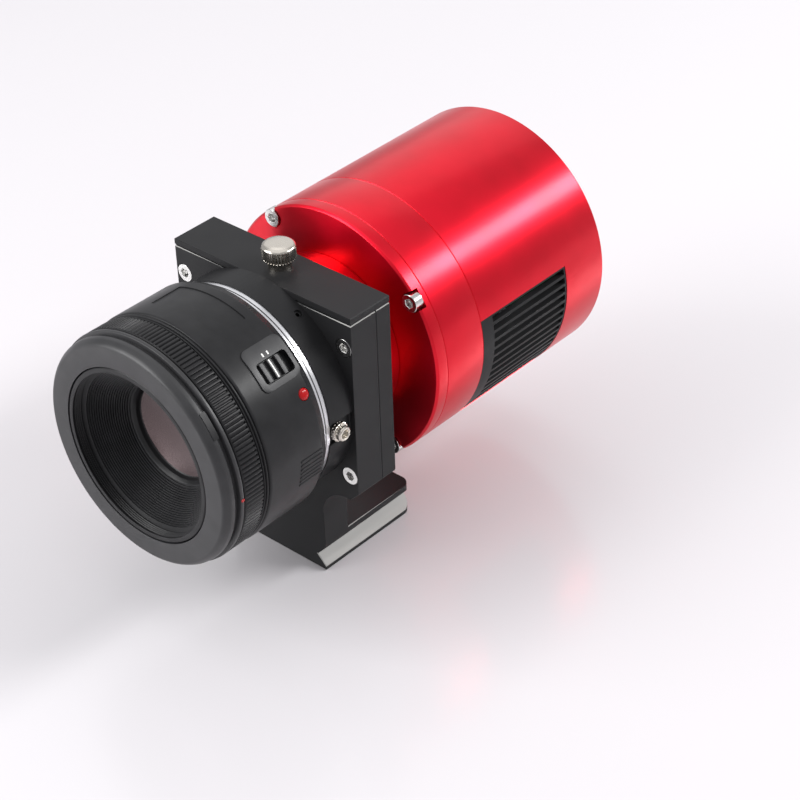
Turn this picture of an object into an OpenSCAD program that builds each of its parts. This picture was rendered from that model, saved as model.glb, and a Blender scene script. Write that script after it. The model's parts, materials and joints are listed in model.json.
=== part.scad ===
// Cooled astronomy camera: a 50 mm lens, a filter drawer adapter on a dovetail foot
// and a cylindrical cooled camera head, all on one optical axis along Y.
// The lens looks along -Y, +Z is up, and the origin is the mouth of the tripod socket
// in the middle of the foot's underside. All sizes are millimetres.

/* [Layout] */
// Height of the optical axis above the foot's underside
axis_h = 60.3; // [58:0.1:64]
// Distance from the tripod socket forward to the lens mount plane
socket_back = 28.9; // [26:0.1:32]
// Distance from the lens mount plane to the front face of the camera head
head_y = 37.5; // [37:0.1:40]

/* [Camera head] */
// Outer radius of the camera head
head_r = 39; // [38.8:0.1:39.4]
// Length of the camera head
head_len = 75; // [74:0.5:80]
// Thickness of the front plate
plate_t = 4.4; // [4.2:0.1:5]
// Length of the sensor housing behind the front plate
housing_len = 15.3; // [15:0.1:16]
// Wall thickness of the main shell
shell_wall = 2.4; // [2:0.1:2.6]
// Angle of the head about the optical axis, measured to the middle of the right vent
vent_mid = -15.8; // [-20:0.1:-12]
// Angle that a side vent spans
vent_span = 57.8; // [50:0.1:60]
// Number of slots in a side vent
vent_slots = 14; // [10:1:14]
// Height of one vent slot
vent_slot_h = 1.85; // [1.4:0.05:2]
// Angle of the first front plate screw
tilt_angle = 36; // [30:1:40]

/* [Adapter] */
// Half width of the adapter box
box_w = 33; // [33:0.1:34]
// Top of the adapter box above the optical axis
box_top = 29.1; // [29:0.1:30]
// Front face of the adapter box behind the mount plane
box_y = 10.2; // [10:0.1:10.6]
// Joint between the adapter body and its rear plate
box_seam = 20.1; // [20:0.1:20.3]
// Rear face of the adapter's rear plate
box_back = 25.6; // [25.4:0.1:26]
// Radius of the round lens boss
boss_r = 32.2; // [32:0.1:32.4]
// Half width of the foot pillar and of the dovetail
foot_w = 18.9; // [18.8:0.05:19.1]
// Rear end of the foot behind the mount plane
foot_back = 47.6; // [46:0.1:50]
// Thickness of the dovetail foot
foot_t = 10.1; // [10:0.1:11]

/* [Filter drawer] */
// Half width of the drawer tray
tray_w = 26.2; // [26:0.1:26.4]
// Thickness of the drawer tray
tray_t = 3.6; // [3:0.1:3.8]
// Thickness of the drawer cover
cover_t = 2; // [1.8:0.1:2.4]
// Radius of the threaded filter hole in the tray
filter_r = 24; // [23.5:0.1:24.2]

/* [Lens] */
// Outer radius of the lens barrel
lens_r = 34.6; // [34.5:0.05:34.8]
// Length of the lens from its front to the mount plane
lens_len = 39.3; // [39:0.1:40]
// Radius of the filter thread in the inner barrel
thread_r = 24.5; // [24.4:0.1:24.6]
// Number of aperture blades
blades = 7; // [7:1:7]

/* [Hidden] */
$fn = 96;

// Overcut that carries a hole past the face it opens in
cut = 0.1;
// Gap between pieces that slide or turn on each other
run_gap = 0.05;
// Gap between pieces that pass each other freely
free_gap = 0.25;

plate_back = head_y + plate_t;
housing_back = plate_back + housing_len;
head_back = head_y + head_len;
shell_in = head_r - shell_wall;
box_bottom = -box_top - 0.2;
foot_bottom = -axis_h;
foot_top = foot_bottom + foot_t;

// Mount ring, boss and lock pin
ring_r = 31.9;
ring_t = 1.5;
throat_r = 27.05;
boss_in = 27.4;
boss_floor = 7;
claw_angles = [90, 210, 330];
ring_screw_r = 0.88;
pin_r = 1.2;
pin_x = 29.6;
pin_z = -1.6;
pin_tip = -1.1;
pin_end = 11;
pin_hole_end = 15;
knob_y = 4.6;
knob_r = 2.9;
knob_x = 31.2;
knob_len = 3.5;
knob_travel = 1.7;
set_screw_angle = 59.4;
set_screw_y = 7.8;
set_screw_r = 1.25;

// Screw pattern that holds the adapter body to its rear plate
box_screw_x = 30;
box_screw_z = 21.1;
m3_r = 1.5;
m3_head_r = 2.7;
m3_head_h = 2.8;
m3_hex_r = 1.45;

// Pocket that the drawer slides in
pocket_y = 12.9;
pocket_back = 21.7;
tray_y = 13.2;
tray_back = tray_y + tray_t;
tray_bottom = -26;
cover_bottom = box_top + 0.25;
cover_top = cover_bottom + cover_t;
magnet_r = 2.2;
magnet_x = 30;
magnet_y = 15.4;
cover_magnet_h = 1.4;
case_magnet_h = 1.7;
handle_y = 18.2;

// Round thread that joins adapter, spacer and head
m42_r = 21;
spacer_r = 25;

// Front plate screws and the shallow groove along each seam of the head
tilt_screw_r = 36.6;
seam_y = 0.15;
seam_r = 0.25;

// Sensor chamber
window_r = 16;
window_y = 40.3;
window_t = 1.2;
seal_back = 42.3;
plug_angle = 200;
plug_y = 49.5;
plug_r = 3.9;
plug_neck_r = 2.45;
sensor_y = 43.5;
sensor_t = 2.6;

// Cooling stack
cooler = 30;
stem_w = 8.5;
finger_y = 48;
peltier_y = 52;
peltier_t = 3.8;
sink_y = peltier_y + peltier_t;
sink_base_t = 4;
sink_back = 77;
sink_r = 32.95;
fin_t = 1.2;
fin_pitch = 4;
fan_y = sink_back;
fan_t = 10;
fan_up = 8;
fan_r = 22;
rotor_r = 18.6;
fan_shaft_r = 1;
grille_r = fan_r - 2;

// Side vents
vent_back = 95.1;
vent_margin = 5;

// Rear electronics
board_y = 97;
board_t = 1.6;
cover_in = 109.3;
cover_out = 111.3;
port_z = -22;
port_y = board_y + board_t;
port_back = cover_out + 0.4;
usb3_x = -17;
usb3_w = 6;
usb3_h = 5.5;
usb2_x = -1;
usb2_w = 7.1;
usb2_h = 3.3;
usb2_up = 3.6;
power_x = 15;
power_w = 4.6;
power_h = 5.2;
rear_screw_r = 33.6;
rear_screw_angles = [25, 155, 205, 335];
rear_screw_shank = 1.25;

// Lens stations along the axis, negative towards the front
lens_front = -lens_len;
knurl_y = -33;
knurl_back = -26;
barrel_y = -25.7;
barrel_back = -2;
drum_r = 31;
guide_r = 26.3;
sleeve_r = 26;
funnel_y = -26.5;
glass_r = 14;
sleeve_back = -9;
cell_back = -17.2;
blade_y = -15.9;
blade_t = 0.22;
blade_pitch = 0.45;
blade_pivot_r = 15.6;
blade_pin_r = 0.5;
blade_in = 13.3;
blade_out = 17.6;
blade_span = 58;
dot_angle = 27;
dot_y = -6.2;
dot_r = 1.58;
switch_angle = 43.6;
switch_y = -15.5;
switch_back = -5;
slider_len = 8.2;
tube_in = 22.6;

// Moves a child from the optical frame to the part's own frame
module on_axis() {
    translate([0, -socket_back, axis_h]) children();
}

// Solid rod along the axis from y0 back to y1
module rod(r, y0, y1) {
    translate([0, y1, 0]) rotate([90, 0, 0]) cylinder(r = r, h = y1 - y0);
}

// Ring along the axis from y0 back to y1
module ring(r_out, r_in, y0, y1) {
    difference() {
        rod(r_out, y0, y1);
        rod(r_in, y0 - cut, y1 + cut);
    }
}

// Solid of revolution about the axis from a closed outline of [radius, y] points
module turned(outline) {
    rotate([-90, 0, 0]) rotate_extrude() polygon(outline);
}

// Flat shape drawn in X and Z, thickened from y0 back to y1
module slab(y0, y1) {
    translate([0, y1, 0]) rotate([90, 0, 0]) linear_extrude(height = y1 - y0) children();
}

// Places a child at an angle and a radius around the axis
module around(angle, r, y) {
    translate([r * cos(angle), y, r * sin(angle)]) children();
}

// Box between two opposite corners
module block(low, high) {
    translate(low) cube(high - low);
}

// Pie slice in X and Z, from angle a0 up to a1
module wedge(a0, a1, r) {
    steps = 4;
    far = r / cos((a1 - a0) / (2 * steps));
    step = (a1 - a0) / steps;
    rim = [for (i = [0:steps]) far * [cos(a0 + step * i), sin(a0 + step * i)]];
    polygon(concat([[0, 0]], rim));
}

// Socket screw along the axis with the outer face of its head at y
module socket_screw(y, head_r, head_h, shank_r, length, hex_r) {
    difference() {
        union() {
            rod(head_r, y, y + head_h);
            rod(shank_r, y + head_h - cut, y + head_h + length);
        }
        translate([0, y + head_h * 0.6, 0]) rotate([90, 0, 0])
            cylinder(r = hex_r, h = head_h, $fn = 6);
    }
}

// Outline of the adapter box with its two lower corners cut off
module box_outline() {
    bevel = 3;
    polygon([
        [-box_w, box_top], [box_w, box_top],
        [box_w, box_bottom + bevel], [box_w - bevel, box_bottom],
        [-box_w + bevel, box_bottom], [-box_w, box_bottom + bevel]
    ]);
}

// Places a child at each corner screw of the adapter
module at_box_screws() {
    for (sx = [-1, 1], sz = [-1, 1])
        translate([sx * box_screw_x, 0, sz * box_screw_z]) children();
}

// Places a child along each radial set screw of the boss
module at_set_screws() {
    for (i = [0:2])
        translate([0, set_screw_y, 0]) rotate([0, 90 - set_screw_angle - 120 * i, 0]) children();
}

// ---- Adapter ----

// Pillar below the box, blended into it by a round cove on each side
module pillar_outline() {
    cove = 10;
    outer = foot_w + cove;
    low = foot_top - cut;
    difference() {
        translate([-outer, low]) square([2 * outer, box_bottom + cut - low]);
        for (s = [-1, 1]) {
            translate([s * outer, box_bottom - cove]) circle(r = cove);
            translate([s * outer - cove, foot_top - 1])
                square([2 * cove, box_bottom - cove - foot_top + 1]);
        }
    }
}

// Dovetail section of the foot
module dovetail_outline() {
    lip = 2;
    edge = 1.3;
    undercut = 3.4;
    neck = foot_w - undercut;
    polygon([
        [-foot_w, foot_bottom], [foot_w, foot_bottom],
        [foot_w, foot_bottom + edge], [neck, foot_bottom + edge + undercut],
        [foot_w, foot_top - lip], [foot_w, foot_top],
        [-foot_w, foot_top], [-foot_w, foot_top - lip],
        [-neck, foot_bottom + edge + undercut], [-foot_w, foot_bottom + edge]
    ]);
}

// Plan of the foot, with rounded rear corners
module foot_plan() {
    corner = 3.6;
    translate([-foot_w, box_y]) square([2 * foot_w, foot_back - box_y - corner]);
    translate([-foot_w + corner, box_y]) square([2 * (foot_w - corner), foot_back - box_y]);
    for (s = [-1, 1]) translate([s * (foot_w - corner), foot_back - corner]) circle(r = corner);
}

module foot() {
    intersection() {
        slab(box_y, foot_back) dovetail_outline();
        translate([0, 0, foot_bottom - 1]) linear_extrude(height = foot_t + 2) foot_plan();
    }
}

// Space that the drawer tray slides down into, from y0 back to y1
module drawer_pocket(y0, y1) {
    w = tray_w + free_gap;
    block([-w, y0, tray_bottom - free_gap], [w, y1, box_top + cut]);
}

module adapter_body() {
    slot_front = knob_y - knob_r - 0.2;
    slot_h = knob_r + 0.3;
    stud_h = 1;
    socket_r = 3.175;
    socket_depth = 8;
    color([0.1, 0.1, 0.11]) on_axis() difference() {
        union() {
            slab(box_y, box_seam) box_outline();
            slab(box_y, box_seam) pillar_outline();
            rod(boss_r, ring_t, box_y + cut);
            foot();
        }
        rod(boss_in, ring_t - cut, boss_floor);
        rod(filter_r + 0.5, boss_floor - cut, box_seam + cut);
        drawer_pocket(pocket_y, box_seam + cut);
        at_box_screws() {
            rod(m3_head_r + 0.15, box_y - cut, box_y + m3_head_h + 0.2);
            rod(m3_r + 0.1, box_y, box_seam + cut);
        }
        translate([pin_x, 0, pin_z]) rod(pin_r + run_gap, ring_t - cut, pin_hole_end);
        block([knob_x - 0.2, slot_front, pin_z - slot_h], [box_w + 1, box_y, pin_z + slot_h]);
        block(
            [pin_x - 0.5, slot_front + 1.3, pin_z - stud_h],
            [knob_x, knob_y + knob_travel + 1.2, pin_z + stud_h]
        );
        at_set_screws() cylinder(r = set_screw_r, h = boss_r + 1);
        at_magnets(box_top - case_magnet_h) cylinder(r = magnet_r, h = case_magnet_h + cut);
        translate([0, socket_back, foot_bottom - cut]) cylinder(r = socket_r, h = socket_depth + cut);
    }
}

module adapter_rear_plate() {
    tube_back = 29.6;
    color([0.12, 0.12, 0.13]) on_axis() difference() {
        union() {
            slab(box_seam, box_back) box_outline();
            rod(m42_r - 0.05, box_back - cut, tube_back);
        }
        rod(m42_r - 1.8, box_seam - cut, tube_back + cut);
        drawer_pocket(box_seam - cut, pocket_back);
        at_box_screws() rod(m3_r, box_seam - cut, box_back + cut);
    }
}

module adapter_screws() {
    shank = box_back - box_y - m3_head_h - 1;
    color([0.8, 0.8, 0.8]) on_axis() at_box_screws()
        socket_screw(box_y + 0.1, m3_head_r, m3_head_h, m3_r - 0.02, shank, m3_hex_r);
}

module mount_ring() {
    claw_half = 27;
    claw_in = 1.2;
    color([0.85, 0.85, 0.86]) on_axis() difference() {
        union() {
            ring(ring_r, throat_r, 0.02, ring_t);
            for (a = claw_angles) intersection() {
                ring(throat_r + 0.5, throat_r - claw_in, 0.1, ring_t - cut);
                slab(0, ring_t) wedge(a - claw_half, a + claw_half, ring_r);
            }
        }
        translate([pin_x, 0, pin_z]) rod(pin_r + run_gap, -cut, ring_t + cut);
        at_ring_screws() rod(ring_screw_r + 0.02, -cut, ring_t + cut);
    }
}

// Places a child at each screw of the mount ring
module at_ring_screws() {
    for (i = [0:3]) around(45 + 90 * i, 29.6, 0) children();
}

module mount_ring_screws() {
    color([0.6, 0.6, 0.62]) on_axis() at_ring_screws() rod(ring_screw_r, cut, ring_t);
}

module lock_pin() {
    color([0.75, 0.75, 0.76]) on_axis() translate([pin_x, 0, pin_z]) rod(pin_r, pin_tip, pin_end);
}

module lock_spring() {
    coils = 5;
    wire = 0.2;
    coil_r = 0.85;
    step = (pin_hole_end - pin_end - 2 * wire) / (coils - 1);
    color([0.7, 0.7, 0.72]) on_axis() translate([pin_x, 0, pin_z]) {
        for (i = [0:coils - 1])
            translate([0, pin_end + wire + i * step, 0]) rotate([90, 0, 0])
                rotate_extrude($fn = 24) translate([coil_r, 0]) circle(r = wire, $fn = 16);
        translate([0, 0, coil_r]) rod(wire * 0.7, pin_end + wire, pin_hole_end - wire);
    }
}

module release_knob() {
    neck = 1;
    step = 0.5;
    stud_r = 0.8;
    color([0.8, 0.8, 0.8]) on_axis() translate([0, knob_y, pin_z]) rotate([0, 90, 0]) {
        translate([0, 0, pin_x + 0.9]) cylinder(r = stud_r, h = knob_x - pin_x);
        translate([0, 0, knob_x]) cylinder(r = knob_r - step, h = knob_len);
        translate([0, 0, knob_x + neck]) cylinder(r = knob_r, h = knob_len - neck - step);
    }
}

module boss_set_screws() {
    color([0.2, 0.2, 0.21]) on_axis() at_set_screws() difference() {
        translate([0, 0, boss_in + 0.3]) cylinder(r = set_screw_r - 0.03, h = 4);
        translate([0, 0, boss_in + 3]) cylinder(r = 0.65, h = 2, $fn = 6);
    }
}

module filter_drawer() {
    step_w = 20;
    step_t = 1.6;
    step_back = pocket_back - free_gap;
    joined = cover_bottom + cut;
    color([0.11, 0.11, 0.12]) on_axis() difference() {
        union() {
            block([-box_w, box_y + 0.1, cover_bottom], [box_w, box_back - 0.1, cover_top]);
            block([-tray_w, tray_y, tray_bottom], [tray_w, tray_back, joined]);
            block([-step_w, tray_y, box_top - step_t], [step_w, step_back, joined]);
        }
        rod(filter_r, tray_y - cut, tray_back + cut);
        at_magnets(cover_bottom - cut) cylinder(r = magnet_r, h = cover_magnet_h + cut);
        translate([0, handle_y, box_top - 3]) cylinder(r = m3_r, h = 8);
    }
}

// Places a child at each of the two magnet seats, at height z
module at_magnets(z) {
    for (s = [-1, 1]) translate([s * magnet_x, magnet_y, z]) children();
}

module drawer_magnets() {
    color([0.75, 0.75, 0.77]) on_axis() at_magnets(cover_bottom)
        cylinder(r = magnet_r - 0.02, h = cover_magnet_h - 0.05);
}

module case_magnets() {
    color([0.75, 0.75, 0.77]) on_axis() at_magnets(box_top - case_magnet_h + 0.05)
        cylinder(r = magnet_r - 0.02, h = case_magnet_h - 0.1);
}

module drawer_knob() {
    knob_h = 7.4;
    head = 4.8;
    neck = 3.3;
    chin = 4.3;
    head_low = 2.5;
    edge = 0.6;
    color([0.8, 0.79, 0.77]) on_axis() translate([0, handle_y, cover_top]) {
        translate([0, 0, box_top - cover_top - 2.4])
            cylinder(r = m3_r - 0.02, h = cover_top - box_top + 2.5);
        cylinder(r = neck, h = 1);
        translate([0, 0, 1 - cut]) cylinder(r1 = neck, r2 = chin, h = head_low - 1 + 2 * cut);
        translate([0, 0, head_low]) cylinder(r = head, h = knob_h - edge - head_low + cut);
        translate([0, 0, knob_h - edge]) cylinder(r1 = head, r2 = head - 0.8, h = edge);
    }
}

module filter_cell() {
    cell_t = 4.3;
    color([0.15, 0.15, 0.16]) on_axis() {
        difference() {
            ring(filter_r + 0.9, filter_r - 1.5, tray_back, tray_back + cell_t);
            rod(filter_r - 0.5, tray_back + 0.8, tray_back + 3.2);
        }
        ring(filter_r - 0.05, filter_r - 1.5, tray_back - 2.4, tray_back + cut);
    }
}

module filter_glass() {
    color([0.55, 0.7, 0.75, 0.5]) on_axis() rod(filter_r - 0.55, tray_back + 0.9, tray_back + 2.9);
}

// ---- Camera head ----

module thread_spacer() {
    color([0.75, 0.05, 0.08]) on_axis() difference() {
        union() {
            rod(spacer_r, box_back, head_y);
            rod(m42_r - 0.05, head_y - cut, head_y + 2.6);
        }
        rod(m42_r, box_back - cut, box_back + 4.4);
        rod(m42_r - 1.8, box_back, head_y + 3);
    }
}

// Places a child at each front plate screw, with +X turned outwards
module at_tilt_screws() {
    for (i = [0:3]) rotate([0, -tilt_angle - 90 * i, 0]) translate([tilt_screw_r, 0, 0]) children();
}

module front_plate() {
    pocket = 2.6;
    pocket_r = 3.05;
    side = 2.9;
    rim = 0.6;
    color([0.78, 0.05, 0.08]) on_axis() difference() {
        turned([
            [m42_r, head_y], [head_r - rim, head_y], [head_r, head_y + rim],
            [head_r, plate_back - seam_y], [head_r - seam_r, plate_back], [m42_r, plate_back]
        ]);
        at_tilt_screws() {
            slab(head_y - 1, head_y + pocket) {
                circle(r = pocket_r);
                translate([0, -side]) square([6, 2 * side]);
            }
            rod(m3_r + 0.1, head_y + 1, plate_back + 1);
        }
    }
}

module tilt_screws() {
    color([0.8, 0.8, 0.8]) on_axis() at_tilt_screws()
        socket_screw(head_y - 0.5, m3_head_r, 3, m3_r - 0.02, 6.6, m3_hex_r);
}

module sensor_housing() {
    wall_back = 43;
    hub_r = 18.6;
    inner_r = head_r - 6;
    opening_r = 14.4;
    seat_r = window_r + 0.1;
    color([0.78, 0.05, 0.08]) on_axis() difference() {
        turned([
            [0, plate_back], [head_r - seam_r, plate_back], [head_r, plate_back + seam_y],
            [head_r, housing_back - seam_y], [head_r - seam_r, housing_back],
            [inner_r, housing_back], [inner_r, wall_back], [0, wall_back]
        ]);
        rod(seat_r, plate_back - cut, seal_back);
        rod(opening_r, plate_back, wall_back + cut);
        at_tilt_screws() rod(m3_r, plate_back - cut, plate_back + 6);
        at_plug() {
            translate([0, 0, head_r - 4]) cylinder(r = plug_r + 0.1, h = 5);
            translate([0, 0, inner_r - 2]) cylinder(r = plug_neck_r + 0.05, h = 5);
        }
    }
    color([0.78, 0.05, 0.08]) on_axis() ring(hub_r, seat_r, window_y - 0.2, plate_back);
}

// Places a child, drawn along Z, at the desiccant plug's seat
module at_plug() {
    rotate([0, -plug_angle, 0]) translate([0, plug_y, 0]) rotate([0, 90, 0]) children();
}

module window_seal() {
    color([0.08, 0.08, 0.08]) on_axis() ring(window_r, 14.6, window_y + window_t, seal_back);
}

module sensor_window() {
    color([0.7, 0.8, 0.85, 0.4]) on_axis() rod(window_r, window_y, window_y + window_t);
}

module image_sensor() {
    w = 15.5;
    h = 12.5;
    die_w = 11.75;
    die_h = 7.85;
    rim = 0.4;
    recess = sensor_y + 1;
    color([0.25, 0.27, 0.35]) on_axis() {
        difference() {
            block([-w, sensor_y, -h], [w, sensor_y + sensor_t, h]);
            block([-die_w - rim, sensor_y - cut, -die_h - rim], [die_w + rim, recess, die_h + rim]);
        }
        block([-die_w, recess - 0.5, -die_h], [die_w, recess + cut, die_h]);
    }
}

module sensor_board() {
    y = sensor_y + sensor_t;
    w = stem_w + 0.5;
    color([0.05, 0.3, 0.12]) on_axis() difference() {
        rod(28, y, y + board_t);
        block([-w, y - cut, -w], [w, y + board_t + cut, w]);
    }
}

module cold_finger() {
    half = cooler / 2;
    color([0.75, 0.45, 0.25]) on_axis() {
        block([-stem_w, sensor_y + sensor_t, -stem_w], [stem_w, finger_y, stem_w]);
        block([-half, finger_y, -half], [half, peltier_y, half]);
    }
}

module peltier_cooler() {
    half = cooler / 2;
    plate = 0.8;
    core = half - 1;
    hot = peltier_y + peltier_t - plate;
    color([0.92, 0.92, 0.9]) on_axis() {
        block([-half, peltier_y, -half], [half, peltier_y + plate, half]);
        block([-core, peltier_y + plate, -core], [core, hot, core]);
        block([-half, hot, -half], [half, hot + plate, half]);
    }
}

module heat_sink() {
    base_back = sink_y + sink_base_t;
    reach = floor((sink_r - 3) / fin_pitch);
    color([0.7, 0.7, 0.72]) on_axis() {
        rod(sink_r, sink_y, base_back);
        intersection() {
            rod(sink_r, base_back - cut, sink_back);
            for (i = [-reach:reach]) translate([0, 0, i * fin_pitch])
                block([-sink_r, base_back - cut, -fin_t / 2], [sink_r, sink_back, fin_t / 2]);
        }
    }
}

// Window shape of one side vent, grown by a gap on every side
module vent_window(gap) {
    grow = gap / head_r * 180 / PI;
    half = vent_span / 2 + grow;
    slab(housing_back + 0.1 - gap, vent_back + gap)
        wedge(vent_mid - half, vent_mid + half, head_r + 3);
}

// Turns a child from the right vent to the left one
module each_vent(turn) {
    rotate([0, -turn, 0]) children();
}

module main_housing() {
    lug_r = 3.2;
    lug_len = 8;
    rim = 0.5;
    color([0.78, 0.05, 0.08]) on_axis() difference() {
        union() {
            turned([
                [shell_in, housing_back], [head_r - seam_r, housing_back],
                [head_r, housing_back + seam_y], [head_r, head_back - rim],
                [head_r - rim, head_back], [shell_in, head_back]
            ]);
            at_rear_screws() rod(lug_r, cover_in - lug_len, cover_in);
        }
        for (turn = [0, 180]) each_vent(turn) vent_window(0);
        at_rear_screws() rod(rear_screw_shank + 0.02, cover_in - lug_len - cut, cover_in + cut);
    }
}

module vent_grille() {
    skin = 0.12;
    pitch = (vent_span - 0.4) / vent_slots;
    first = vent_mid - pitch * (vent_slots - 1) / 2;
    h = vent_slot_h / 2;
    color([0.2, 0.2, 0.21]) on_axis() difference() {
        intersection() {
            ring(head_r - skin, shell_in + 0.05, housing_back, vent_back + 1);
            vent_window(-0.08);
        }
        for (i = [0:vent_slots - 1]) rotate([0, -first - i * pitch, 0])
            block([shell_in - 2, housing_back + vent_margin, -h], [head_r + 2, vent_back - 0.7, h]);
    }
}

module vent_grille_right() {
    vent_grille();
}

module vent_grille_left() {
    on_axis() each_vent(180) translate([0, socket_back, -axis_h]) vent_grille();
}

module fan_frame() {
    wall = 1.6;
    hub = 7;
    arm = 1.4;
    post = 2.4;
    fan_back = fan_y + fan_t;
    arm_y = fan_back - 1.5;
    color([0.09, 0.09, 0.1]) on_axis() translate([0, 0, fan_up]) difference() {
        union() {
            ring(fan_r, fan_r - wall, fan_y, fan_back);
            for (i = [0:2]) rotate([0, 120 * i + 30, 0])
                block([0, arm_y, -arm], [fan_r - 0.5, fan_back, arm]);
            rod(hub, arm_y, fan_back);
            rod(post, fan_back - 7, fan_back - 1);
        }
        rod(fan_shaft_r + run_gap, fan_y + 2, fan_back - 0.8);
    }
}

module fan_rotor() {
    hub = 7.5;
    skin = 1.2;
    vanes = 9;
    tilt = 35;
    vane_t = 0.5;
    vane_y = fan_y + fan_t / 2 - 0.7;
    fan_back = fan_y + fan_t;
    color([0.13, 0.13, 0.14]) on_axis() translate([0, 0, fan_up]) {
        difference() {
            rod(hub, fan_y + 0.4, fan_back - 2);
            rod(hub - skin, fan_y + 0.4 + skin, fan_back);
        }
        rod(fan_shaft_r, fan_y + 1, fan_back - 1.6);
        intersection() {
            ring(rotor_r, hub - 0.6, fan_y + 0.6, fan_back - 2.2);
            for (i = [0:vanes - 1])
                rotate([0, 360 / vanes * i, 0]) translate([0, vane_y, 0]) rotate([tilt, 0, 0])
                    block([hub - 0.4, -6, -vane_t], [rotor_r + 2, 6, vane_t]);
        }
    }
}

module main_board() {
    color([0.05, 0.3, 0.12]) on_axis() difference() {
        rod(shell_in - 0.6, board_y, board_y + board_t);
        translate([0, 0, fan_up]) rod(fan_r - 1, board_y - cut, board_y + board_t + cut);
    }
}

// Hollow connector shell w by h half sizes that opens at the rear
module port_shell(w, h, wall) {
    difference() {
        block([-w, port_y, -h], [w, port_back, h]);
        block([-w + wall, port_y + 2, -h + wall], [w - wall, port_back + cut, h - wall]);
    }
}

module usb3_socket() {
    tongue = 2.8;
    color([0.1, 0.25, 0.6]) on_axis() translate([usb3_x, 0, port_z]) {
        port_shell(usb3_w, usb3_h, 0.8);
        block([-tongue, port_y + 1.4, -1.4], [tongue, cover_out - 1, 2.2]);
    }
}

module usb2_sockets() {
    tongue = 5.6;
    color([0.8, 0.8, 0.8]) on_axis() for (s = [-1, 1])
        translate([usb2_x, 0, port_z + s * usb2_up]) {
            port_shell(usb2_w, usb2_h, 0.5);
            block([-tongue, port_y + 1.4, 0.6], [tongue, cover_out - 1, 2.2]);
        }
}

module power_socket() {
    jack_r = 3.1;
    core_r = 1;
    color([0.07, 0.07, 0.07]) on_axis() translate([power_x, 0, port_z]) {
        difference() {
            block([-power_w, port_y, -power_h], [power_w, port_back, power_h]);
            rod(jack_r, port_y + 3, port_back + 1);
        }
        rod(core_r, port_y + 2.5, cover_out - 1);
    }
}

// Places a child at each rear cover screw
module at_rear_screws() {
    for (a = rear_screw_angles) around(a, rear_screw_r, 0) children();
}

module rear_cover() {
    color([0.76, 0.05, 0.08]) on_axis() difference() {
        rod(shell_in - run_gap, cover_in, cover_out);
        translate([0, 0, fan_up]) rod(grille_r + run_gap, cover_in - cut, cover_out + cut);
        port_cutout(usb3_x, usb3_w, usb3_h);
        port_cutout(usb2_x, usb2_w, usb2_h + usb2_up);
        port_cutout(power_x, power_w, power_h);
        at_rear_screws() rod(rear_screw_shank + run_gap, cover_in - cut, cover_out + cut);
    }
}

// Hole in the rear cover round a connector of w by h half sizes at x
module port_cutout(x, w, h) {
    gap = 0.1;
    translate([x, 0, port_z])
        block([-w - gap, cover_in - cut, -h - gap], [w + gap, cover_out + cut, h + gap]);
}

module rear_cover_screws() {
    head = 2.3;
    head_h = 1.1;
    color([0.8, 0.8, 0.8]) on_axis() at_rear_screws() difference() {
        union() {
            rod(rear_screw_shank, cover_in - 6, cover_out + cut);
            rod(head, cover_out, cover_out + head_h);
        }
        translate([0, cover_out + head_h + cut, 0]) rotate([90, 0, 0])
            cylinder(r = 1, h = 0.8, $fn = 6);
    }
}

module fan_grille() {
    rows = 4;
    pitch = 4;
    slot = 2.6;
    spoke = 0.9;
    outer = grille_r - 1.6;
    color([0.09, 0.09, 0.1]) on_axis() translate([0, 0, fan_up]) difference() {
        rod(grille_r, cover_in, cover_out);
        for (i = [0:rows - 1]) difference() {
            ring(outer - pitch * i, outer - slot - pitch * i, cover_in - cut, cover_out + cut);
            for (k = [0:1]) rotate([0, 90 * k + 45, 0])
                block([-grille_r, cover_in - 1, -spoke], [grille_r, cover_out + 1, spoke]);
        }
    }
}

module desiccant_plug() {
    color([0.75, 0.75, 0.76]) on_axis() at_plug() difference() {
        union() {
            translate([0, 0, head_r - 3.9]) cylinder(r = plug_r, h = 3.6);
            translate([0, 0, head_r - 7.4]) cylinder(r = plug_neck_r, h = 3.6);
        }
        translate([0, 0, head_r - 2]) cylinder(r = 1.6, h = 3, $fn = 6);
    }
}

// ---- Lens ----

module lens_barrel() {
    wall = 1.8;
    inner = lens_r - wall;
    shelf = barrel_y + 3;
    drum_y = knurl_y - 0.2;
    slot_h = 3.1;
    pad_h = 6.2;
    pad_y = switch_y - 1.7;
    pad_back = -3.6;
    color([0.09, 0.09, 0.1]) on_axis() difference() {
        turned([
            [guide_r, drum_y], [drum_r, drum_y], [drum_r, barrel_y],
            [lens_r - 0.4, barrel_y], [lens_r, barrel_y + 0.5], [lens_r, barrel_back - 0.8],
            [lens_r - 1.2, barrel_back], [tube_in, barrel_back], [tube_in, barrel_back - wall],
            [inner, barrel_back - wall], [inner, shelf], [guide_r, shelf]
        ]);
        rotate([0, -switch_angle, 0])
            block([lens_r - 1.5, switch_y, -slot_h], [lens_r + 2, switch_back, slot_h]);
        rotate([0, -dot_angle, 0]) translate([lens_r - 1.2, dot_y, 0]) rotate([0, 90, 0])
            cylinder(r = dot_r + 0.02, h = 3);
    }
    color([0.1, 0.1, 0.11]) on_axis() rotate([0, -switch_angle, 0]) difference() {
        intersection() {
            ring(lens_r + 0.35, lens_r - 0.4, pad_y, pad_back);
            block([drum_r, pad_y, -pad_h], [lens_r + 2, pad_back, pad_h]);
        }
        block([drum_r - 1, switch_y, -slot_h], [lens_r + 3, switch_back, slot_h]);
    }
}

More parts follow.
